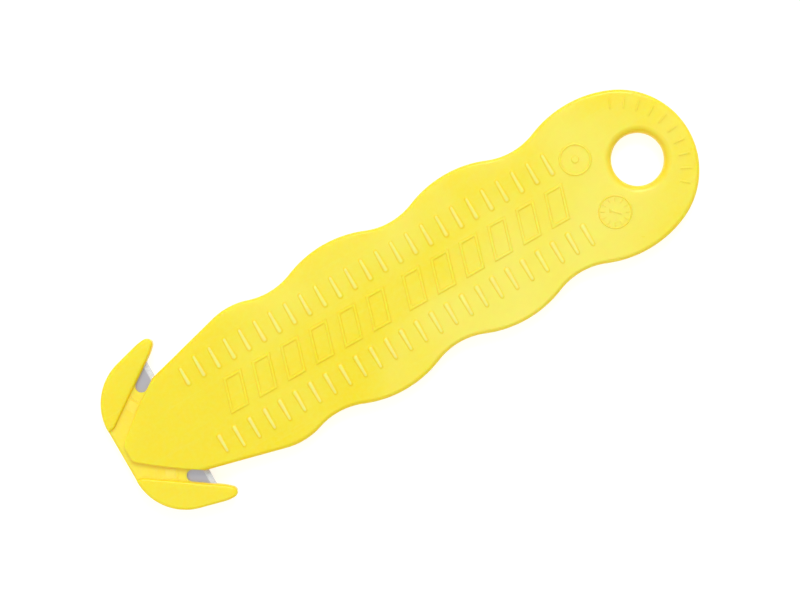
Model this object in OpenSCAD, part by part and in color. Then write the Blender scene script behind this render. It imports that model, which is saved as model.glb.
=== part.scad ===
// Hook-style safety cutter: a flat moulded body with two guarded hooks and one steel blade
// moulded into its head.
//
// Frame: +X runs from the nose to the hanging-hole end, +Z is up through the thickness, and the
// part is symmetric about Y = 0. The origin is at the centre of the underside of its outer box.

/* [Plate] */
// Length from the nose to the tail
length = 117.5; // [116:0.5:119]
// Thickness of the handle, head and hooks, without the grip ribs
plate_t = 3.6; // [3.4:0.1:4.4]
// Thickness of the thin web that carries the blade
web_t = 2; // [1.6:0.1:2.4]

/* [Grip edge] */
// Distance from one finger wave to the next
wave_pitch = 25.25; // [25:0.05:25.5]
// Half width of the handle at a wave crest
crest_y = 15; // [14.8:0.1:15.2]
// Half width of the handle at a wave valley
valley_y = 12.5; // [12.4:0.05:12.6]
// Radius of a wave valley
valley_r = 12.6; // [12:0.1:13]
// Distance from the tail to the last wave crest
last_crest = 16.85; // [16.5:0.05:17.2]

/* [Head] */
// Distance from the nose to the small crest behind the head
small_crest = 29.55; // [29.3:0.05:29.8]
// Half width at the small crest
small_crest_y = 13.8; // [13.7:0.05:13.9]
// Radius of the small crest
small_crest_r = 12.5; // [12:0.1:13]
// Angle of the head's flanks and of the hooks' outer edges
flank_angle = 14.6; // [14:0.1:15]
// Radius of the head's front corners
corner_r = 10.1; // [9.8:0.1:10.2]
// Height of those corners' centres above the long axis
corner_y = 5.2; // [5.1:0.05:5.3]
// Radius of a hook's tip
tip_r = 1.05; // [0.9:0.05:1.1]

/* [Hanging hole] */
// Radius of the hanging hole
hole_r = 4.76; // [4.5:0.02:5]
// Distance from the tail to the hole's axis
hole_from_tail = 10.55; // [10.4:0.05:10.8]
// Rounding of the hole's rims
rim_r = 1.5; // [1.2:0.05:1.5]

/* [Grip ribs] */
// Ribs in one row
rib_count = 25; // [24:1:25]
// Distance from one rib to the next
rib_pitch = 3.14; // [3.1:0.01:3.16]
// Width of a rib
rib_w = 1.1; // [0.8:0.1:1.3]
// Height of a rib above the plate
rib_h = 0.2; // [0.2:0.05:0.3]
// Height of the raised marks on the front face
mark_h = 0.18; // [0.1:0.01:0.2]

/* [Blade] */
// Thickness of the blade strip
blade_t = 0.45; // [0.4:0.05:0.6]
// Width of the strip from its back to its cutting edge
blade_w = 5.8; // [5.6:0.1:6.2]
// Width of the ground bevel
bevel_w = 1; // [0.8:0.1:1.2]
// Half length of the strip at its cutting edge
blade_half = 14.3; // [14:0.1:14.4]
// Radius of the strip's anchor holes
anchor_r = 1; // [0.8:0.1:1.2]

/* [Hidden] */

nose_x = -length / 2;
tail_x = length / 2;
mid_z = rib_h + plate_t / 2;
height = plate_t + 2 * rib_h;

// Finger waves: each crest and valley is one arc, tangent to its neighbours.
wave_rise = crest_y - valley_y;
crest_r = (pow(wave_pitch / 2, 2) + wave_rise * wave_rise) / (2 * wave_rise) - valley_r;
crest_cy = crest_y - crest_r;
valley_cy = valley_y + valley_r;
wave_turn = atan2(valley_cy - crest_cy, wave_pitch / 2);
crests = 3;
crest_x = [for (i = [0:crests - 1]) tail_x - last_crest - i * wave_pitch];

// Tail: an arc that touches the last crest's arc from inside and ends at the tail.
tail_gap = crest_r - last_crest;
tail_cx = crest_x[0] + (crest_cy * crest_cy - tail_gap * tail_gap) / (2 * tail_gap);
tail_r = tail_x - tail_cx;
tail_turn = atan2(-crest_cy, tail_cx - crest_x[0]);

// Small crest behind the head
small_c = [nose_x + small_crest, small_crest_y - small_crest_r];
last_valley_c = [crest_x[crests - 1] - wave_pitch / 2, valley_cy];
small_turn = atan2(last_valley_c.y - small_c.y, last_valley_c.x - small_c.x);

// Hook: front corner, outer flank, tip and inner edge
corner_c = [nose_x + corner_r, corner_y];
flank_bend_r = 8;
tip_c = [nose_x + 13.83, 15.3];
tip_inner_angle = -46.8;
inner_bend = [nose_x + 13.85, 13.88];
slot_angle = 34.8;
slot_ref = [nose_x + 6.95, 9.08];

// Slot between a hook and the head: the head's side of it is a long shallow arc.
head_corner = [nose_x + 11.85, 9.6];
head_nose = [nose_x + 1.7, 2.15];
head_arc_r = 95;
nose_strip = 1.15;
head_flat_y = 1.5;
hook_foot_y = 5.05;
foot_blend = 0.5;
slot_end_x = nose_x + 8.55;
slot_end_r = 1.15;

// Blade: the cutting edge faces the handle, square to the long axis.
edge_x = nose_x + 12.25;
back_x = edge_x - blade_w;
back_half = blade_half - 2.5;
anchor_y = [-4.5, 0, 4.5];

// Ribs: the first rib of each row, where the head narrows, is shorter at its outer end.
rib_inner_y = 4.9;
rib_outer_y = 9.45;
first_rib_x = nose_x + 16.95;
first_rib_cut = 0.7;
hole_x = tail_x - hole_from_tail;

// Raised marks: the row of tiles, in two groups
tile_h = 6.4;
tile_w = 3.8;
tile_line = 0.6;
tile_slant = 1.92;
first_tile_x = nose_x + 23.6;
tile_pitch = 5.9;
group_pitch = 37;
tiles = [for (g = [0, 1], i = [0:5]) first_tile_x + g * group_pitch + i * tile_pitch];

// Raised marks: the plain ring with a stud, the month dial, and the ticks round the tail
ring_c = [tail_x - 20.4, 5.6];
ring_r = 2.98;
ring_line = 0.45;
stud_r = 0.7;
dial_c = [tail_x - 18.85, -6.15];
dial_r = 3.05;
dial_line = 0.25;
dial_tick = [0.7, 0.24];
dial_tick_r = 1.9;
pointer_turn = 135;
pointer_line = 0.15;
pointer_back = 1.1;
pointer_neck = 0.4;
pointer_head = [1.3, 0.5];
tail_tick = [2, 0.3];
tail_tick_r = 11.1;

// Points along an arc about c from angle a0 to angle a1, both ends included.
function arc(c, r, a0, a1, n) =
    [for (i = [0:n]) let (a = a0 + (a1 - a0) * i / n) c + r * [cos(a), sin(a)]];

// Where the line through p at angle a meets the line through q at angle b.
function meet(p, a, q, b) =
    let (d = q - p, s = (d.x * sin(b) - d.y * cos(b)) / sin(b - a))
    p + s * [cos(a), sin(a)];

// Centre of the circle of radius r through p and q, on the right of the way from p to q.
function arc_centre(p, q, r) =
    let (d = q - p, len = norm(d), h = sqrt(r * r - len * len / 4))
    (p + q) / 2 + h * [d.y, -d.x] / len;

// Point of the hook's inner slot edge at a given x.
function inner_edge(x) = [x, slot_ref.y + tan(slot_angle) * (x - slot_ref.x)];

head_arc_c = arc_centre(head_nose, head_corner, head_arc_r);
function head_arc(p, q, n) =
    arc(head_arc_c, head_arc_r, atan2(p.y - head_arc_c.y, p.x - head_arc_c.x),
        atan2(q.y - head_arc_c.y, q.x - head_arc_c.x), n);

// Closed end of a slot: a full round between the hook's edge and the head.
slot_dir = [cos(slot_angle), sin(slot_angle)];
slot_across = [sin(slot_angle), -cos(slot_angle)];
slot_end_c = inner_edge(slot_end_x) + slot_end_r * slot_across;

// Upper half of the outline, from the tail over the waves to the head's slot corner.
wave_points = concat(
    arc([tail_cx, 0], tail_r, 0, tail_turn, 20),
    [for (i = [0:crests - 1]) each concat(
        arc([crest_x[i], crest_cy], crest_r, i == 0 ? tail_turn : wave_turn, 180 - wave_turn, 12),
        arc([crest_x[i] - wave_pitch / 2, valley_cy], valley_r, -wave_turn,
            i == crests - 1 ? small_turn - 180 : wave_turn - 180, 10))],
    arc(small_c, small_crest_r, small_turn, 90 + flank_angle, 8),
    [head_corner]);

// The slot's walls, from the head's corner to the closed end and back out to the hook's bend
slot_points = concat(
    head_arc(head_corner, slot_end_c + slot_end_r * slot_across + 0.4 * slot_dir, 4),
    arc(slot_end_c, slot_end_r, slot_angle + 265, slot_angle + 90, 12),
    [inner_bend]);

// Hook tip, outer flank, front corner and nose.
hook_points = concat(
    arc(tip_c, tip_r, tip_inner_angle, 90, 10),
    arc([tip_c.x, tip_c.y + tip_r - flank_bend_r], flank_bend_r, 90, 90 + flank_angle, 3),
    arc(corner_c, corner_r, 90 + flank_angle, 180, 14));

half_outline = concat(wave_points, slot_points, hook_points);

// Mirrors a half outline's points about the long axis and closes the loop.
module both_halves(points) {
    mirrored = [for (i = [len(points) - 1:-1:0]) [points[i].x, -points[i].y]];
    polygon(concat(points, mirrored));
}

// The V-shaped recess: both slots, their webs and the strip that joins them at the nose.
module recess_outline() {
    past_nose = 1;
    short_of_bend = 1.2;
    hook_foot = meet([nose_x, hook_foot_y], 0, slot_ref, slot_angle);
    outer = [
        [nose_x - past_nose, hook_foot_y],
        hook_foot - [foot_blend, 0],
        hook_foot + foot_blend * slot_dir,
        inner_edge(inner_bend.x - short_of_bend),
        head_corner];
    head = concat(head_arc(head_corner, head_nose, 8), [[nose_x + nose_strip, head_flat_y]]);
    difference() {
        both_halves(outer);
        both_halves(head);
    }
}

// The hanging hole with both rims rounded. The rounding starts a little inside its tangent
// points, so that its surface crosses the wall and the face instead of only touching them.
module hole_cut() {
    inside = 0.05;
    margin = 0.5;
    translate([hole_x, 0, 0]) {
        translate([0, 0, -margin]) cylinder(r = hole_r, h = height + 2 * margin, $fn = 96);
        for (side = [0, 1])
            translate([0, 0, mid_z]) mirror([0, 0, side])
                rotate_extrude($fn = 96)
                    difference() {
                        translate([hole_r - margin, plate_t / 2 - rim_r])
                            square([rim_r + margin - inside, rim_r + margin]);
                        translate([hole_r + rim_r - inside, plate_t / 2 - rim_r + inside])
                            circle(r = rim_r, $fn = 64);
                    }
    }
}

// A flat bar with round ends along Y, from y0 to y1.
module rounded_bar(x, y0, y1, w) {
    translate([x - w / 2, y0 + w / 2]) square([w, y1 - y0 - w]);
    for (y = [y0 + w / 2, y1 - w / 2]) translate([x, y]) circle(d = w, $fn = 24);
}

module ribs() {
    for (i = [0:rib_count - 1], side = [0, 1]) {
        outer_y = rib_outer_y - (i == 0 ? first_rib_cut : 0);
        linear_extrude(height) mirror([0, side])
            rounded_bar(first_rib_x + i * rib_pitch, rib_inner_y, outer_y, rib_w);
    }
}

// A slanted open tile: the plain decoration along the middle of the handle.
module tile(x) {
    module slanted(w, h, s) {
        translate([x, 0])
            polygon([[-w / 2 - s / 2, -h / 2], [w / 2 - s / 2, -h / 2],
                     [w / 2 + s / 2, h / 2], [-w / 2 + s / 2, h / 2]]);
    }
    inner_h = tile_h - 2 * tile_line;
    difference() {
        slanted(tile_w, tile_h, tile_slant);
        slanted(tile_w - 2 * tile_line, inner_h, tile_slant * inner_h / tile_h);
    }
}

module ring(c, r, line) {
    translate(c) difference() {
        circle(r = r, $fn = 64);
        circle(r = r - line, $fn = 64);
    }
}

// A short bar that points away from c, with its inner end at radius r.
module tick(c, r, a, size) {
    translate(c) rotate(a) translate([r, -size.y / 2]) square(size);
}

// The dial's pointer: a shaft with an arrowhead.
module pointer() {
    translate(dial_c) rotate(pointer_turn)
        polygon([[-pointer_back, -pointer_line], [pointer_neck, -pointer_line],
                 [pointer_neck, -pointer_head.y], [pointer_head.x, 0], [pointer_neck, pointer_head.y],
                 [pointer_neck, pointer_line], [-pointer_back, pointer_line]]);
}

// Raised marks on the front: the tiles, a plain ring, a month dial and the ticks at the tail.
module marks() {
    translate([0, 0, mid_z]) linear_extrude(plate_t / 2 + mark_h) {
        for (x = tiles) tile(x);
        ring(ring_c, ring_r, ring_line);
        translate(ring_c) circle(r = stud_r, $fn = 32);
        ring(dial_c, dial_r, dial_line);
        for (a = [0:30:330]) tick(dial_c, dial_tick_r, a, dial_tick);
        pointer();
        for (a = [-40:12:68]) tick([tail_cx, 0], tail_tick_r, a, tail_tick);
    }
}

module plate() {
    difference() {
        translate([0, 0, rib_h]) linear_extrude(plate_t) both_halves(half_outline);
        for (z = [mid_z + web_t / 2, mid_z - web_t / 2 - plate_t])
            translate([0, 0, z]) linear_extrude(plate_t) recess_outline();
    }
}

module body() {
    color("gold")
        difference() {
            union() {
                plate();
                ribs();
                marks();
            }
            hole_cut();
            blade_strip();
        }
}

// The strip's outline seen from above: longer at the cutting edge, with anchor holes.
module strip_outline() {
    difference() {
        polygon([[back_x, -back_half], [edge_x, -blade_half], [edge_x, blade_half],
                 [back_x, back_half]]);
        for (y = anchor_y) translate([back_x + 2.4, y]) circle(r = anchor_r, $fn = 32);
    }
}

module blade_strip() {
    half_t = blade_t / 2;
    intersection() {
        translate([0, 0, mid_z - blade_t]) linear_extrude(2 * blade_t) strip_outline();
        translate([0, blade_half + 1, mid_z]) rotate([90, 0, 0])
            linear_extrude(2 * blade_half + 2)
                polygon([[back_x - 1, -half_t], [edge_x - bevel_w, -half_t], [edge_x, 0],
                         [edge_x - bevel_w, half_t], [back_x - 1, half_t]]);
    }
}

module blade() {
    color("silver") blade_strip();
}

body();
blade();
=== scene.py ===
import math

import bpy
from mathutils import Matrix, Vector


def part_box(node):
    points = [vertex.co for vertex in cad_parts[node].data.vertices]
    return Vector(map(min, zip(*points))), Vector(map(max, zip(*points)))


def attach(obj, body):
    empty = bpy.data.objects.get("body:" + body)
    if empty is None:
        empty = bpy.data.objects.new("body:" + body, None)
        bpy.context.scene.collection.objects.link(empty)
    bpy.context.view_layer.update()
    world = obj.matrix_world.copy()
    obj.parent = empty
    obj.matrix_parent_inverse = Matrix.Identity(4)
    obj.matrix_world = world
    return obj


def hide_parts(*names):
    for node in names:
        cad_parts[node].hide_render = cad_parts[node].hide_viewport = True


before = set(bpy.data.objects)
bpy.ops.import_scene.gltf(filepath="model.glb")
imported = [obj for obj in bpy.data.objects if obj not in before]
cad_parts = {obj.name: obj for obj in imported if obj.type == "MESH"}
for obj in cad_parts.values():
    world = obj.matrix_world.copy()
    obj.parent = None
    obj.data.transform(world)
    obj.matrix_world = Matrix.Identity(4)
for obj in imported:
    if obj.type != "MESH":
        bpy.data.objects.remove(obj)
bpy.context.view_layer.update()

# The moulding is modelled at one Blender unit to the millimetre, and then brought to its real
# size in metres. Finishes, lights and the camera work in metres.
MM = 0.001

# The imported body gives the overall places; the rest are the moulding's own sizes.
body_low, body_high = [[value / MM for value in corner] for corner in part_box("body")]
nose_x = body_low[0]
tail_x = body_high[0]
rib_height = 0.2
face_bottom = body_low[2] + rib_height
face_top = body_high[2] - rib_height
mid_z = (face_bottom + face_top) / 2
web_half = 1.0
outer_edge_r = 0.8
hook_edge_r = 0.55
recess_edge_r = 0.15

# Cutting blocks run this far past what they cut, and points this near each other count as one.
past = 1.0
near = 0.01

# Finger waves: equal crests and valleys, each one arc that touches its neighbours.
wave_pitch = 25.25
crest_y = 15.0
valley_y = 12.5
valley_r = 12.6
wave_rise = crest_y - valley_y
crest_r = ((wave_pitch / 2) ** 2 + wave_rise ** 2) / (2 * wave_rise) - valley_r
crest_cy = crest_y - crest_r
valley_cy = valley_y + valley_r
wave_turn = math.degrees(math.atan2(valley_cy - crest_cy, wave_pitch / 2))
crest_from_tail = 16.85
crest_xs = [tail_x - crest_from_tail - index * wave_pitch for index in range(3)]

# Tail: an arc inside the last crest's arc.
tail_gap = crest_r - (tail_x - crest_xs[0])
tail_cx = crest_xs[0] + (crest_cy ** 2 - tail_gap ** 2) / (2 * tail_gap)
tail_turn = math.degrees(math.atan2(-crest_cy, tail_cx - crest_xs[0]))
hole_from_tail = 10.55
hole_x = tail_x - hole_from_tail
hole_r = 4.76
hole_rim_r = 1.5

# Small crest behind the head, and the head's straight flank
small_r = 12.5
small_crest_x = nose_x + 29.55
small_crest_y = 13.8
small_c = (small_crest_x, small_crest_y - small_r)
last_valley_x = crest_xs[-1] - wave_pitch / 2
small_turn = math.degrees(math.atan2(valley_cy - small_c[1], last_valley_x - small_c[0]))
flank_angle = 14.6

# Hook. The corner's end and the tip's start are directions from the centres of their arcs.
corner_r = 10.1
corner_c = (nose_x + corner_r, 5.2)
corner_end = 176
tip_r = 1.05
tip_c = (nose_x + 13.83, 15.3)
tip_start = -46.8
flank_bend_r = 8.0
inner_bend = (nose_x + 13.85, 13.88)

# Slot between the hook and the head
slot_angle = 34.8
slot_ref = (nose_x + 6.95, 9.08)
slot_end_r = 1.15
slot_end_x = nose_x + 8.55
head_corner = (nose_x + 11.85, 9.6)
head_nose = (nose_x + 1.7, 2.15)
head_arc_r = 95.0
nose_strip = 1.15
head_flat_y = 1.5
hook_foot_y = 5.05

# Raised work on the faces. Its blocks are deeper than it stands, and the rest is in the plate.
work_depth = 0.6
rib_count = 25
rib_pitch = 3.14
rib_width = 1.2
rib_tip_width = 0.9
rib_inner_y = 4.9
rib_outer_y = 9.45
first_rib_x = nose_x + 16.95
first_rib_cut = 0.7
rib_half_depth = 0.45
mark_height = 0.18
tile_size = (3.8, 6.4)
tile_slant = 0.96
tile_line = 0.6
first_tile_x = nose_x + 23.6
tile_pitch = 5.9
tile_group_pitch = 37


def polar(centre, radius, degrees):
    """The point at an angle on a circle."""
    turn = math.radians(degrees)
    return centre[0] + radius * math.cos(turn), centre[1] + radius * math.sin(turn)


def angle_of(centre, point):
    """The direction of a point from a centre, in degrees."""
    return math.degrees(math.atan2(point[1] - centre[1], point[0] - centre[0]))


def hook_edge_y(x):
    """Height of the hook's straight slot edge at x."""
    return slot_ref[1] + math.tan(math.radians(slot_angle)) * (x - slot_ref[0])


def circle_through(start, end, radius):
    """Centre of the circle through two points, on the right of the way from one to the other."""
    run = (end[0] - start[0], end[1] - start[1])
    length = math.hypot(*run)
    reach = math.sqrt(radius ** 2 - length ** 2 / 4) / length
    return (start[0] + end[0]) / 2 + run[1] * reach, (start[1] + end[1]) / 2 - run[0] * reach


head_arc_c = circle_through(head_nose, head_corner, head_arc_r)
across = (math.sin(math.radians(slot_angle)), -math.cos(math.radians(slot_angle)))
slot_end_c = (slot_end_x + slot_end_r * across[0],
              hook_edge_y(slot_end_x) + slot_end_r * across[1])


# ---------------------------------------------------------------- modelling helpers

def clear_selection():
    bpy.ops.object.select_all(action="DESELECT")


def edit_mode(kind):
    """Enters edit mode with vertices, edges or faces as what is selected."""
    bpy.ops.object.mode_set(mode="EDIT")
    bpy.ops.mesh.select_mode(type=kind)


def object_mode():
    bpy.ops.object.mode_set(mode="OBJECT")


def make_active(piece):
    clear_selection()
    piece.select_set(True)
    bpy.context.view_layer.objects.active = piece


def new_piece(name):
    """Names the primitive that was just added and puts its place into its mesh."""
    piece = bpy.context.object
    piece.name = name
    piece.data.name = name
    bpy.ops.object.transform_apply(location=True, rotation=True, scale=True)
    return piece


def pick(piece, kind, test):
    """Selects the vertices, edges or faces whose middle, in millimetres, passes the test."""
    object_mode()
    make_active(piece)
    mesh = piece.data
    groups = {"VERT": mesh.vertices, "EDGE": mesh.edges, "FACE": mesh.polygons}
    for group in groups.values():
        for element in group:
            element.select = False
    bpy.context.tool_settings.mesh_select_mode = [name == kind for name in groups]
    points = [vertex.co.copy() for vertex in mesh.vertices]
    for element in groups[kind]:
        corners = [element.index] if kind == "VERT" else element.vertices
        middle = sum((points[corner] for corner in corners), Vector()) / len(corners)
        if test(middle, element):
            element.select = True
            for corner in corners:
                mesh.vertices[corner].select = True
    edit_mode(kind)


def apply_modifier(piece, kind, **settings):
    """Adds a modifier to the piece, sets it and applies it."""
    make_active(piece)
    modifier = piece.modifiers.new(kind.title(), kind)
    for setting, value in settings.items():
        setattr(modifier, setting, value)
    bpy.ops.object.modifier_apply(modifier=modifier.name)


def combine(piece, tool, operation):
    """Cuts or joins the piece with a tool object, and removes the tool."""
    apply_modifier(piece, "BOOLEAN", object=tool, operation=operation, solver="MANIFOLD")
    bpy.data.objects.remove(tool)


def join_all(pieces, name):
    make_active(pieces[0])
    for piece in pieces:
        piece.select_set(True)
    bpy.ops.object.join()
    joined = bpy.context.object
    joined.name = name
    return joined


def copy_of(piece, offset, turn):
    """A copy with its own mesh, turned in the face's plane and moved by an offset."""
    make_active(piece)
    bpy.ops.object.duplicate()
    twin = bpy.context.object
    twin.rotation_euler.z = turn
    twin.location = offset
    bpy.ops.object.transform_apply(location=True, rotation=True, scale=True)
    return twin


class Outline:
    """Half an outline, drawn from a single point by extruding and spinning it in edit mode."""

    def __init__(self, name, start):
        clear_selection()
        bpy.ops.mesh.primitive_plane_add(size=1)
        self.piece = new_piece(name)
        edit_mode("VERT")
        bpy.ops.mesh.merge(type="CENTER")
        bpy.ops.transform.translate(value=(start[0], start[1], 0))
        self.at = start

    def line_to(self, point):
        step = (point[0] - self.at[0], point[1] - self.at[1], 0)
        bpy.ops.mesh.extrude_region_move(TRANSFORM_OT_translate={"value": step})
        self.at = point

    def turn(self, centre, degrees, steps):
        """Follows an arc about the centre, anticlockwise for a positive angle."""
        middle = (centre[0], centre[1], 0)
        bpy.ops.mesh.spin(steps=steps, angle=-math.radians(degrees), center=middle, axis=(0, 0, 1))
        radius = math.dist(centre, self.at)
        self.at = polar(centre, radius, angle_of(centre, self.at) + degrees)

    def turn_to(self, centre, target, steps):
        """Follows an arc about the centre by the shorter way to the target's direction."""
        change = angle_of(centre, target) - angle_of(centre, self.at)
        self.turn(centre, (change + 180) % 360 - 180, steps)

    def fill_and_raise(self, low, high):
        """Fills the closed outline and extrudes it between two heights."""
        edit_mode("VERT")
        bpy.ops.mesh.select_all(action="SELECT")
        bpy.ops.mesh.remove_doubles(threshold=near)
        bpy.ops.transform.translate(value=(0, 0, low))
        bpy.ops.mesh.edge_face_add()
        lift = {"value": (0, 0, high - low)}
        bpy.ops.mesh.extrude_region_move(TRANSFORM_OT_translate=lift)
        bpy.ops.mesh.select_all(action="SELECT")
        bpy.ops.mesh.normals_make_consistent(inside=False)
        object_mode()

    def solid_across(self, low, high):
        """One solid from this half outline and its mirror image over the long axis."""
        object_mode()
        apply_modifier(self.piece, "MIRROR", use_axis=(False, True, False), merge_threshold=near)
        self.fill_and_raise(low, high)
        return self.piece

    def lathe(self, steps):
        """Stands this half profile up in the XZ plane and spins it about the Z axis."""
        object_mode()
        make_active(self.piece)
        self.piece.rotation_euler.x = math.radians(90)
        bpy.ops.object.transform_apply(location=True, rotation=True, scale=True)
        edit_mode("VERT")
        bpy.ops.mesh.select_all(action="SELECT")
        bpy.ops.mesh.spin(steps=steps, angle=math.radians(360), center=(0, 0, 0), axis=(0, 0, 1))
        bpy.ops.mesh.select_all(action="SELECT")
        bpy.ops.mesh.remove_doubles(threshold=0.001)
        bpy.ops.mesh.normals_make_consistent(inside=False)
        object_mode()
        return self.piece

    def solid_each_side(self, low, high):
        """Two solids, this closed outline's and its mirror image over the long axis."""
        self.fill_and_raise(low, high)
        apply_modifier(self.piece, "MIRROR", use_axis=(False, True, False), use_mirror_merge=False)
        return self.piece


# ---------------------------------------------------------------- the moulded body

def plate():
    """The whole outline at full thickness. The slots are still filled at their mouths."""
    outline = Outline("body_moulding", (tail_x, 0.0))
    outline.turn((tail_cx, 0.0), tail_turn, steps=40)
    for index, x in enumerate(crest_xs):
        start = tail_turn if index == 0 else wave_turn
        end = small_turn if index == 2 else wave_turn
        outline.turn((x, crest_cy), 180 - wave_turn - start, steps=28)
        outline.turn((x - wave_pitch / 2, valley_cy), end + wave_turn - 180, steps=20)
    outline.turn(small_c, 90 + flank_angle - small_turn, steps=16)
    into_slot = 0.4
    outline.line_to(polar(head_corner, -into_slot, flank_angle))
    tip_inner = polar(tip_c, tip_r, tip_start)
    outline.line_to(polar(inner_bend, past, angle_of(tip_inner, inner_bend)))
    outline.line_to(tip_inner)
    outline.turn(tip_c, 90 - tip_start, steps=14)
    outline.turn((tip_c[0], tip_c[1] + tip_r - flank_bend_r), flank_angle, steps=5)
    outline.line_to(polar(corner_c, corner_r, 90 + flank_angle))
    outline.turn(corner_c, corner_end - 90 - flank_angle, steps=24)
    outline.line_to((nose_x, hook_foot_y))
    outline.line_to((nose_x, 0.0))
    return outline.solid_across(face_bottom, face_top)


def recess(low, high):
    """A block in the shape of the V-shaped recess that leaves only the thin webs."""
    outline = Outline("recess", (nose_x - past, 0.0))
    foot_x = slot_ref[0] + (hook_foot_y - slot_ref[1]) / math.tan(math.radians(slot_angle))
    foot_r = 0.87
    foot_start = foot_x - foot_r * math.tan(math.radians(slot_angle / 2))
    outline.line_to((nose_x - past, hook_foot_y))
    outline.line_to((foot_start, hook_foot_y))
    outline.turn((foot_start, hook_foot_y + foot_r), slot_angle, steps=4)
    outline.line_to((inner_bend[0] + past, hook_edge_y(inner_bend[0] + past)))
    beyond_corner = 1.5
    along_arc = angle_of(head_arc_c, head_corner) - 90
    outline.line_to(polar(head_corner, beyond_corner, along_arc))
    outline.line_to(head_corner)
    outline.turn_to(head_arc_c, head_nose, steps=5)
    # A short slope takes the head's arc into the straight strip at the nose.
    strip_x = nose_x + nose_strip
    slope_width, slope_above, slope_below = 0.1, 0.15, 0.25
    outline.line_to((strip_x + slope_width, head_flat_y + slope_above))
    outline.line_to((strip_x, head_flat_y - slope_below))
    outline.line_to((strip_x, 0.0))
    return outline.solid_across(low, high)


def slot_openings():
    """Two blocks in the shape of the open slots, a hair inside the recess's walls."""
    inside = 0.06
    radius = slot_end_r - inside
    start = polar(slot_end_c, radius, slot_angle + 90)
    reach = 8.0
    mouth = (head_corner[0] + 3, head_corner[1] + 1.5)
    outline = Outline("slot_openings", start)
    outline.turn(slot_end_c, 180, steps=16)
    outline.line_to(polar(head_arc_c, head_arc_r + inside, angle_of(head_arc_c, head_corner)))
    outline.line_to(mouth)
    outline.line_to(polar(start, reach, slot_angle))
    outline.line_to(start)
    return outline.solid_each_side(face_bottom - past, face_top + past)


def soften_web_nose(piece):
    """Takes the corner off both edges of the thin web along the nose."""
    thickness = 0.5
    end_gap = 0.03
    for side in (-1, 1):
        clear_selection()
        place = (nose_x, 0, mid_z + side * web_half)
        bpy.ops.mesh.primitive_cube_add(size=thickness, location=place,
                                        rotation=(0, math.radians(45), 0))
        bpy.context.object.scale.y = 2 * (hook_foot_y - end_gap) / thickness
        combine(piece, new_piece("nose_chamfer"), "DIFFERENCE")


def edge_radius(middle):
    """The radius of a face's edge, by which of the three edge loops it is on and where."""
    x, y = middle.x, abs(middle.y)
    past_hook_x = inner_bend[0] + 3
    slack = 0.05
    if x < past_hook_x and y > max(hook_edge_y(x), hook_foot_y) - slack:
        return hook_edge_r
    on_head_arc = abs(math.dist((x, y), head_arc_c) - head_arc_r) < 2 * slack
    if x < head_corner[0] and (on_head_arc or y < head_nose[1]):
        return recess_edge_r
    return outer_edge_r


def round_edges(piece):
    """Rounds every edge of both faces, each to its own radius."""
    make_active(piece)
    edit_mode("VERT")
    bpy.ops.mesh.select_all(action="SELECT")
    bpy.ops.mesh.remove_doubles(threshold=near)
    object_mode()
    mesh = piece.data
    sides = {}
    for polygon in mesh.polygons:
        for key in polygon.edge_keys:
            sides.setdefault(key, []).append(polygon.normal.copy())
    weights = mesh.attributes.new("bevel_weight_edge", "FLOAT", "EDGE")
    flat_cosine = 0.9
    for edge in mesh.edges:
        start, end = (mesh.vertices[corner].co for corner in edge.vertices)
        middle = (start + end) / 2
        first, second = sides[tuple(sorted(edge.vertices))]
        on_face = min(abs(middle.z - face_bottom), abs(middle.z - face_top)) < near
        if on_face and first.dot(second) < flat_cosine:
            weights.data[edge.index].value = edge_radius(middle)
    apply_modifier(piece, "BEVEL", width=1.0, segments=6, limit_method="WEIGHT",
                   use_clamp_overlap=False, loop_slide=False)


def hole_tool():
    """The hanging hole's shape with both rims rounded. Its flares stand a hair past the faces."""
    hair = 0.008
    half = (face_top - face_bottom) / 2 + hair
    flare_x = hole_r + hole_rim_r
    outline = Outline("hole", (0.0, -half - past))
    outline.line_to((flare_x, -half - past))
    outline.line_to((flare_x, -half))
    outline.turn((flare_x, -half + hole_rim_r), -90, steps=9)
    outline.line_to((hole_r, half - hole_rim_r))
    outline.turn((flare_x, half - hole_rim_r), -90, steps=9)
    outline.line_to((flare_x, half + past))
    outline.line_to((0.0, half + past))
    tool = outline.lathe(steps=96)
    make_active(tool)
    tool.location = (hole_x, 0, mid_z)
    bpy.ops.object.transform_apply(location=True, rotation=True, scale=True)
    return tool


def rib(outer_y):
    """One grip rib across the handle: a low mound with round ends, narrower at its outer end."""
    # The mound's widest level is below the face, where it has to be as wide as the rib.
    flare = 1 / math.sqrt(1 - (1 - rib_height / rib_half_depth) ** 2)
    radius = rib_width / 2 * flare
    clear_selection()
    bpy.ops.mesh.primitive_uv_sphere_add(segments=24, ring_count=16, radius=radius)
    piece = new_piece("rib")
    pick(piece, "VERT", lambda middle, vertex: middle.y > near)
    bpy.ops.transform.resize(value=(rib_tip_width / rib_width, 1, 1))
    bpy.ops.transform.translate(value=(0, outer_y - rib_tip_width / 2, 0))
    pick(piece, "VERT", lambda middle, vertex: middle.y < near)
    bpy.ops.transform.translate(value=(0, rib_inner_y + rib_width / 2, 0))
    bpy.ops.mesh.select_all(action="SELECT")
    bpy.ops.transform.resize(value=(1, 1, rib_half_depth / radius), center_override=(0, 0, 0))
    object_mode()
    return piece


def ribs(face_z):
    """Both rows of ribs on one face, with their tops a rib's height from it."""
    patterns = [rib(rib_outer_y - first_rib_cut), rib(rib_outer_y)]
    outward = 1 if face_z > mid_z else -1
    depth = face_z + outward * (rib_height - rib_half_depth)
    row = []
    for index in range(rib_count):
        place = (first_rib_x + index * rib_pitch, 0, depth)
        for turn in (0, math.pi):
            row.append(copy_of(patterns[min(index, 1)], place, turn))
    for pattern in patterns:
        bpy.data.objects.remove(pattern)
    return join_all(row, "ribs")


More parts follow.
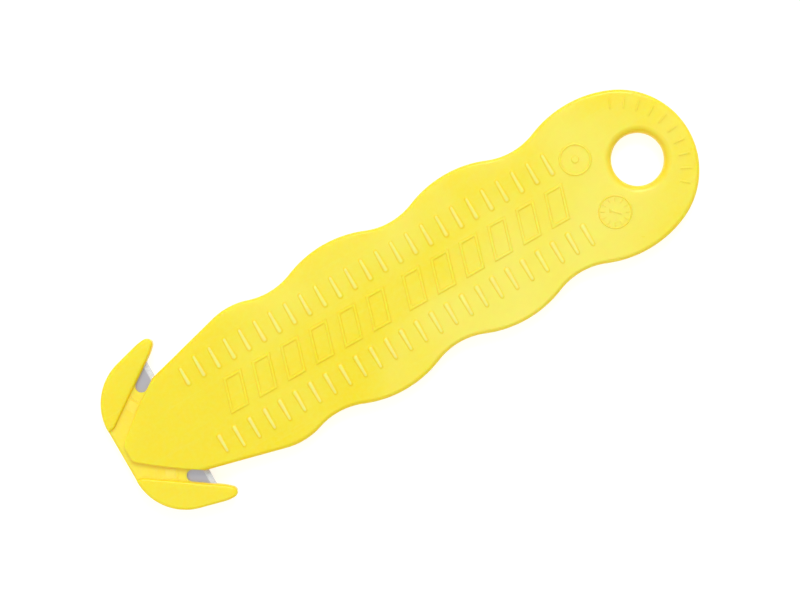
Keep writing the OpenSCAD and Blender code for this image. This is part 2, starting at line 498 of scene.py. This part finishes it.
def soften_top(piece, top, radius, segments=3):
    """Rounds the edges at the top of a block."""
    pick(piece, "EDGE", lambda middle, edge: middle.z > top - near)
    bpy.ops.mesh.bevel(offset=radius, segments=segments, profile=0.5, affect="EDGES",
                       clamp_overlap=False)


def tile(x):
    """One slanted open tile of the row along the handle's middle."""
    clear_selection()
    bpy.ops.mesh.primitive_plane_add(size=1)
    piece = new_piece("tile")
    edit_mode("VERT")
    bpy.ops.transform.resize(value=(*tile_size, 1))
    pick(piece, "VERT", lambda middle, vertex: middle.y > 0)
    bpy.ops.transform.translate(value=(tile_slant, 0, 0))
    pick(piece, "VERT", lambda middle, vertex: middle.y < 0)
    bpy.ops.transform.translate(value=(-tile_slant, 0, 0))
    edit_mode("FACE")
    bpy.ops.mesh.select_all(action="SELECT")
    bpy.ops.mesh.inset(thickness=tile_line)
    bpy.ops.mesh.delete(type="FACE")
    bpy.ops.mesh.select_all(action="SELECT")
    bpy.ops.mesh.extrude_region_move(TRANSFORM_OT_translate={"value": (0, 0, work_depth)})
    bpy.ops.mesh.select_all(action="SELECT")
    bpy.ops.mesh.normals_make_consistent(inside=False)
    soften_top(piece, work_depth, radius=0.17)
    # The bevel lifts the tight inner corners, which are put back level.
    pick(piece, "VERT", lambda middle, vertex: middle.z > work_depth)
    bpy.ops.transform.resize(value=(1, 1, 0), center_override=(0, 0, work_depth))
    bpy.ops.mesh.select_all(action="SELECT")
    bpy.ops.transform.translate(value=(x, 0, face_top + mark_height - work_depth))
    object_mode()
    return piece


def hoop(name, centre, radius, line):
    """A thin raised ring, half of an oval in section, with its middle on the face."""
    clear_selection()
    bpy.ops.mesh.primitive_torus_add(major_segments=64, minor_segments=12,
                                     major_radius=radius, minor_radius=line / 2)
    piece = new_piece(name)
    edit_mode("VERT")
    bpy.ops.mesh.select_all(action="SELECT")
    bpy.ops.transform.resize(value=(1, 1, mark_height / (line / 2)))
    bpy.ops.transform.translate(value=(centre[0], centre[1], face_top))
    object_mode()
    return piece


def stud(name, centre, radius, height, sides=32):
    """A low raised disc with a soft rim."""
    clear_selection()
    place = (centre[0], centre[1], face_top + height - work_depth / 2)
    bpy.ops.mesh.primitive_cylinder_add(vertices=sides, radius=radius, depth=work_depth,
                                        location=place)
    piece = new_piece(name)
    soften_top(piece, face_top + height, radius=0.14)
    object_mode()
    return piece


def bar(name, centre, length, width, turn, top):
    """A low raised bar with its top at a height, turned about its own middle."""
    clear_selection()
    bpy.ops.mesh.primitive_cube_add(size=1)
    piece = new_piece(name)
    edit_mode("FACE")
    bpy.ops.mesh.select_all(action="SELECT")
    bpy.ops.transform.resize(value=(length, width, work_depth))
    soften_top(piece, work_depth / 2, radius=0.07, segments=2)
    object_mode()
    turned = copy_of(piece, (centre[0], centre[1], top - work_depth / 2), math.radians(turn))
    bpy.data.objects.remove(piece)
    return turned


def marks():
    """The tiles, the plain ring, the month dial and the tail's ticks on the front face."""
    mark_top = face_top + mark_height
    work = [tile(first_tile_x + group * tile_group_pitch + index * tile_pitch)
            for group in range(2) for index in range(6)]
    ring_c = (tail_x - 20.4, 5.6)
    work.append(hoop("ring", ring_c, radius=2.75, line=0.46))
    work.append(stud("ring_stud", ring_c, radius=0.7, height=mark_height))

    dial_c = (tail_x - 18.85, -6.15)
    dial_tick_r = 2.25
    work.append(hoop("dial_rim", dial_c, radius=2.93, line=0.3))
    for turn in range(0, 360, 30):
        middle = polar(dial_c, dial_tick_r, turn)
        work.append(bar("dial_tick", middle, length=0.7, width=0.24, turn=turn, top=mark_top))
    pointer = bar("pointer", polar(dial_c, 0.35, 315), length=1.9, width=0.3, turn=135,
                  top=mark_top)
    pointer_head = stud("pointer_head", polar(dial_c, 0.8, 135), radius=0.5,
                        height=mark_height - near, sides=3)
    combine(pointer, pointer_head, "UNION")
    work.append(pointer)

    tail_tick_r = 12.1
    for turn in range(-40, 80, 12):
        middle = polar((tail_cx, 0.0), tail_tick_r, turn)
        work.append(bar("tail_tick", middle, length=2.0, width=0.34, turn=turn, top=mark_top))
    return join_all(work, "marks")


def web_witness_marks():
    """A ridge and a low patch across each thin web, where the mould's inserts met."""
    ridge = {"distance": 2.7, "length": 1.8, "width": 0.2, "height": 0.09}
    patch = {"distance": 4.0, "length": 1.9, "width": 1.9, "height": 0.06}
    nearly_square = 84
    work = []
    for side in (-1, 1):
        for mark in (ridge, patch):
            middle = polar(slot_end_c, mark["distance"], 180 + slot_angle)
            place = (middle[0], side * middle[1])
            work.append(bar("witness", place, mark["length"], mark["width"],
                            turn=side * (slot_angle + nearly_square),
                            top=mid_z + web_half + mark["height"]))
    return join_all(work, "witness_marks")


def to_real_size(piece):
    """Brings a piece that was modelled in millimetres to metres."""
    make_active(piece)
    piece.scale = (MM, MM, MM)
    bpy.ops.object.transform_apply(location=True, rotation=True, scale=True)


def moulded_body():
    piece = plate()
    combine(piece, recess(mid_z + web_half, face_top + past), "DIFFERENCE")
    combine(piece, recess(face_bottom - past, mid_z - web_half), "DIFFERENCE")
    combine(piece, slot_openings(), "DIFFERENCE")
    round_edges(piece)
    combine(piece, hole_tool(), "DIFFERENCE")
    soften_web_nose(piece)
    combine(piece, ribs(face_top), "UNION")
    combine(piece, ribs(face_bottom), "UNION")
    combine(piece, marks(), "UNION")
    combine(piece, web_witness_marks(), "UNION")
    make_active(piece)
    bpy.ops.object.shade_smooth_by_angle(angle=math.radians(32))
    apply_modifier(piece, "WEIGHTED_NORMAL", keep_sharp=True)
    to_real_size(piece)
    return piece


# ---------------------------------------------------------------- finishes

class Value:
    """A shader socket that can be used in arithmetic."""

    def __init__(self, tree, socket):
        self.tree = tree
        self.socket = socket

    def math(self, operation, other=0.0, swapped=False):
        node = self.tree.nodes.new("ShaderNodeMath")
        node.operation = operation
        for index, item in enumerate((other, self) if swapped else (self, other)):
            if isinstance(item, Value):
                self.tree.links.new(item.socket, node.inputs[index])
            else:
                node.inputs[index].default_value = item
        return Value(self.tree, node.outputs[0])

    def __add__(self, other):
        return self.math("ADD", other)

    def __sub__(self, other):
        return self.math("SUBTRACT", other)

    def __rsub__(self, other):
        return self.math("SUBTRACT", other, swapped=True)

    def __mul__(self, other):
        return self.math("MULTIPLY", other)

    def __pow__(self, other):
        return self.math("POWER", other)

    def __abs__(self):
        return self.math("ABSOLUTE")

    __radd__ = __add__
    __rmul__ = __mul__


class Finish:
    """A material being made: its shader, the place on the object, and nodes added by name."""

    def __init__(self, name):
        self.material = bpy.data.materials.new(name)
        self.material.use_nodes = True
        self.tree = self.material.node_tree
        self.shader = self.tree.nodes["Principled BSDF"]
        self.place = self.node("TexCoord", output="Object")
        self.normal = self.node("TexCoord", output="Normal")

    def node(self, kind, settings=None, sockets=None, output=0):
        """Adds a node, sets it, fills its sockets with numbers or links, and gives an output."""
        node = self.tree.nodes.new("ShaderNode" + kind)
        for setting, value in (settings or {}).items():
            setattr(node, setting, value)
        for socket, value in (sockets or {}).items():
            self.fill(node.inputs[socket], value)
        return Value(self.tree, node.outputs[output])

    def fill(self, socket, value):
        if isinstance(value, Value):
            self.tree.links.new(value.socket, socket)
        else:
            socket.default_value = value

    def set(self, **sockets):
        """Sets the shader's own sockets, with underscores for the spaces in their names."""
        for socket, value in sockets.items():
            self.fill(self.shader.inputs[socket.replace("_", " ")], value)

    def noise(self, scale, detail=2.0, stretch=None):
        """Cloudy variation, with a scale in cycles per metre, stretched along the axes if asked."""
        place = self.place
        if stretch:
            place = self.node("Mapping", None, {"Vector": place, "Scale": stretch})
        return self.node("TexNoise", None, {"Vector": place, "Scale": scale, "Detail": detail})

    def between(self, value, low, high):
        """Rises smoothly from 0 to 1 as the value goes from low to high."""
        return self.node("MapRange", {"interpolation_type": "SMOOTHSTEP"},
                         {"Value": value, "From Min": low, "From Max": high})

    def coordinate(self, vector, axis):
        """One coordinate of a vector socket."""
        return self.node("SeparateXYZ", None, {"Vector": vector}, axis)

    def blend(self, amount, first, second):
        """A colour between two colours."""
        node = self.tree.nodes.new("ShaderNodeMix")
        node.data_type = "RGBA"
        # Its sockets for numbers and vectors have the same names, so colours go by place.
        self.fill(node.inputs[0], amount)
        self.fill(node.inputs[6], first)
        self.fill(node.inputs[7], second)
        return Value(self.tree, node.outputs[2])

    def bump(self, height, distance):
        """Fine relief that stands out by the distance where the height is 1."""
        sockets = {"Height": height, "Distance": distance, "Strength": 1.0}
        return self.node("Bump", None, sockets)


def yellow_plastic():
    """Moulded yellow plastic: flow clouds partly painted sheen, a fine peel, a parting line, and
    rib tops and webs made paler as painted highlights.

    It goes from a deep yellow at the nose to a paler one at the tail, partly painted sheen, and to
    a painted shade of redder yellow on slopes.
    """
    finish = Finish("yellow_plastic")
    along = finish.coordinate(finish.place, "X")
    out = abs(finish.coordinate(finish.place, "Y"))
    from_middle = abs(finish.coordinate(finish.place, "Z") - mid_z * MM)
    facing = finish.coordinate(finish.normal, "Z")

    drifts = finish.between(finish.noise(38.0), 0.33, 0.67)
    clouds = finish.between(finish.noise(85.0, detail=3.0), 0.25, 0.75)
    flow = finish.between(finish.noise(190.0, stretch=(0.2, 1.0, 1.0)), 0.25, 0.75)
    speckle = finish.between(finish.noise(1300.0), 0.3, 0.8)
    hairs = finish.between(finish.noise(1400.0, detail=1.0, stretch=(0.04, 1.0, 1.0)), 0.62, 0.72)

    # From deep at the nose to paler at the tail: partly the moulding's own tone, partly painted
    # sheen.
    palest_x = nose_x + 75
    towards_tail = finish.between(along, nose_x * MM, palest_x * MM)
    deep = finish.blend(towards_tail, (0.975, 0.765, 0.008, 1), (0.975, 0.79, 0.012, 1))
    pale = finish.blend(towards_tail, (0.985, 0.82, 0.04, 1), (0.985, 0.87, 0.16, 1))
    dusty = (0.98, 0.88, 0.15, 1)
    # Painted shade colour for slopes.
    painted_slope_shade = (1.0, 0.7, 0.004, 1)
    # Painted highlight colour for the rib tops, the webs and the patches on them.
    painted_highlight = (1.0, 0.93, 0.38, 1)

    past_ribs = (first_rib_x + (rib_count - 0.5) * rib_pitch) * MM
    rib_rows = (finish.between(out, (rib_inner_y - 1.3) * MM, (rib_inner_y - 0.5) * MM)
                * (1 - finish.between(along, past_ribs - MM, past_ribs)))
    rib_top = (face_top + rib_height - mid_z) * MM
    rib_tops = rib_rows * finish.between(from_middle, rib_top - 0.07 * MM, rib_top)
    web_top = web_half * MM
    webs = ((1 - finish.between(from_middle, web_top + 0.02 * MM, web_top + 0.1 * MM))
            * finish.between(abs(facing), 0.8, 0.95))
    web_patches = (finish.between(from_middle, web_top + 0.035 * MM, web_top + 0.055 * MM)
                   * (1 - finish.between(from_middle, web_top + 0.07 * MM, web_top + 0.1 * MM)))
    # Painted highlights and sheen: the rib tops, the flat of each web and its patch are made paler
    # where they would catch the light.
    highlight_amount = rib_tops * (0.65 - towards_tail * 0.2) + webs * 0.1 + web_patches * 0.15
    slope_shade_amount = abs(1 - facing * facing) ** 0.5

    # The pale clouds and streaks are partly the moulding's own uneven tone and partly painted
    # sheen.
    colour = finish.blend(drifts * 0.5 + clouds * 0.3 + flow * 0.2, deep, pale)
    colour = finish.blend(speckle * 0.22 + hairs * 0.12, colour, dusty)
    # Painted shade: slopes are tinted a deep, redder yellow, more the further they tilt, as this
    # plastic looks in the shade.
    colour = finish.blend(slope_shade_amount * 0.85, colour, painted_slope_shade)
    colour = finish.blend(highlight_amount, colour, painted_highlight)

    peel = finish.noise(1800.0)
    waviness = finish.noise(260.0)
    parting_line = 1 - finish.between(from_middle, 0.03 * MM, 0.12 * MM)
    relief = finish.bump(waviness * 0.06 + peel * 0.006 - hairs * 0.002 + parting_line * 0.05, MM)
    finish.set(Base_Color=colour, Roughness=0.27 + clouds * 0.05 + speckle * 0.05 + hairs * 0.12,
               Normal=relief, IOR=1.4, Subsurface_Weight=0.7, Subsurface_Scale=0.0019,
               Subsurface_Radius=(1.0, 0.5, 0.05))
    return finish.material


def ground_steel():
    """Blade steel: a rolled flat with fine grain along it, and a ground bevel with lines across."""
    finish = Finish("ground_steel")
    bevel_width = MM
    bevel_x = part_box("blade")[1][0] - bevel_width
    slack = 0.02 * MM
    bevel = finish.between(finish.coordinate(finish.place, "X"), bevel_x - slack, bevel_x + slack)
    rolled = finish.noise(7000.0, stretch=(1.0, 0.04, 1.0))
    ground = finish.noise(7000.0, detail=3.0, stretch=(0.06, 1.0, 1.0))
    stain = finish.between(finish.noise(700.0, detail=3.0), 0.4, 0.75)
    ground_lines = bevel * finish.between(ground, 0.45, 0.65)

    bluish = (0.495, 0.5, 0.555, 1)
    # The bevel's paler colour is partly its ground finish and partly a painted highlight for the
    # light it catches.
    ground_and_highlight = (0.705, 0.73, 0.755, 1)
    stained = (0.5, 0.5, 0.53, 1)
    lined = (0.52, 0.52, 0.52, 1)
    colour = finish.blend(bevel, bluish, ground_and_highlight)
    colour = finish.blend(stain * 0.3, colour, stained)
    colour = finish.blend(ground_lines * 0.6, colour, lined)

    grain = rolled * (1 - bevel) + ground * bevel
    finish.set(Base_Color=colour, Metallic=1.0, Roughness=0.38 + grain * 0.14 + bevel * 0.05,
               Normal=finish.bump(grain, 0.004 * MM))
    return finish.material


def give_finish(piece, material):
    piece.data.materials.clear()
    piece.data.materials.append(material)


# ---------------------------------------------------------------- stage, lights and camera

def pale_floor():
    clear_selection()
    bpy.ops.mesh.primitive_plane_add(size=6)
    floor = new_piece("floor")
    finish = Finish("pale_floor")
    finish.set(Base_Color=(0.45, 0.45, 0.45, 1), Roughness=0.9,
               Emission_Color=(1, 1, 1, 1), Emission_Strength=0.72)
    give_finish(floor, finish.material)


def soft_light(name, direction, size, power, distance=2.0):
    """A square softbox that points at the object's middle from a direction."""
    lamp = bpy.data.lights.new(name, "AREA")
    lamp.size = size
    lamp.energy = power
    holder = bpy.data.objects.new(name, lamp)
    bpy.context.collection.objects.link(holder)
    away = Vector(direction).normalized()
    holder.location = away * distance
    holder.rotation_euler = away.to_track_quat("Z", "Y").to_euler()


def lights():
    world = bpy.data.worlds.new("studio")
    bpy.context.scene.world = world
    world.use_nodes = True
    background = world.node_tree.nodes["Background"]
    background.inputs["Color"].default_value = (1, 1, 1, 1)
    background.inputs["Strength"].default_value = 0.39
    soft_light("overhead", (0.05, 0.05, 1.0), size=3.2, power=14.0)
    soft_light("fill", (-0.9, 0.0, 0.65), size=2.4, power=8.5)
    soft_light("key", (0.5, 0.68, 0.9), size=0.8, power=19.0)


def camera():
    """Looks straight down, with the tool's long axis 30 degrees from the view's width."""
    view = bpy.data.cameras.new("camera")
    holder = bpy.data.objects.new("camera", view)
    bpy.context.collection.objects.link(holder)
    view.lens = 135
    view.sensor_width = 36
    seen_width = 143.6
    seen_middle = (-1.48, -0.54)
    rise = seen_width * view.lens / view.sensor_width
    holder.location = (seen_middle[0] * MM, seen_middle[1] * MM, (face_top + rise) * MM)
    holder.rotation_euler = (0, 0, math.radians(-30))
    bpy.context.scene.camera = holder


camera()
pale_floor()
lights()

body = moulded_body()
give_finish(body, yellow_plastic())
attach(body, "root")
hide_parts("body")
give_finish(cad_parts["blade"], ground_steel())

scene = bpy.context.scene
scene.view_settings.view_transform = "Standard"
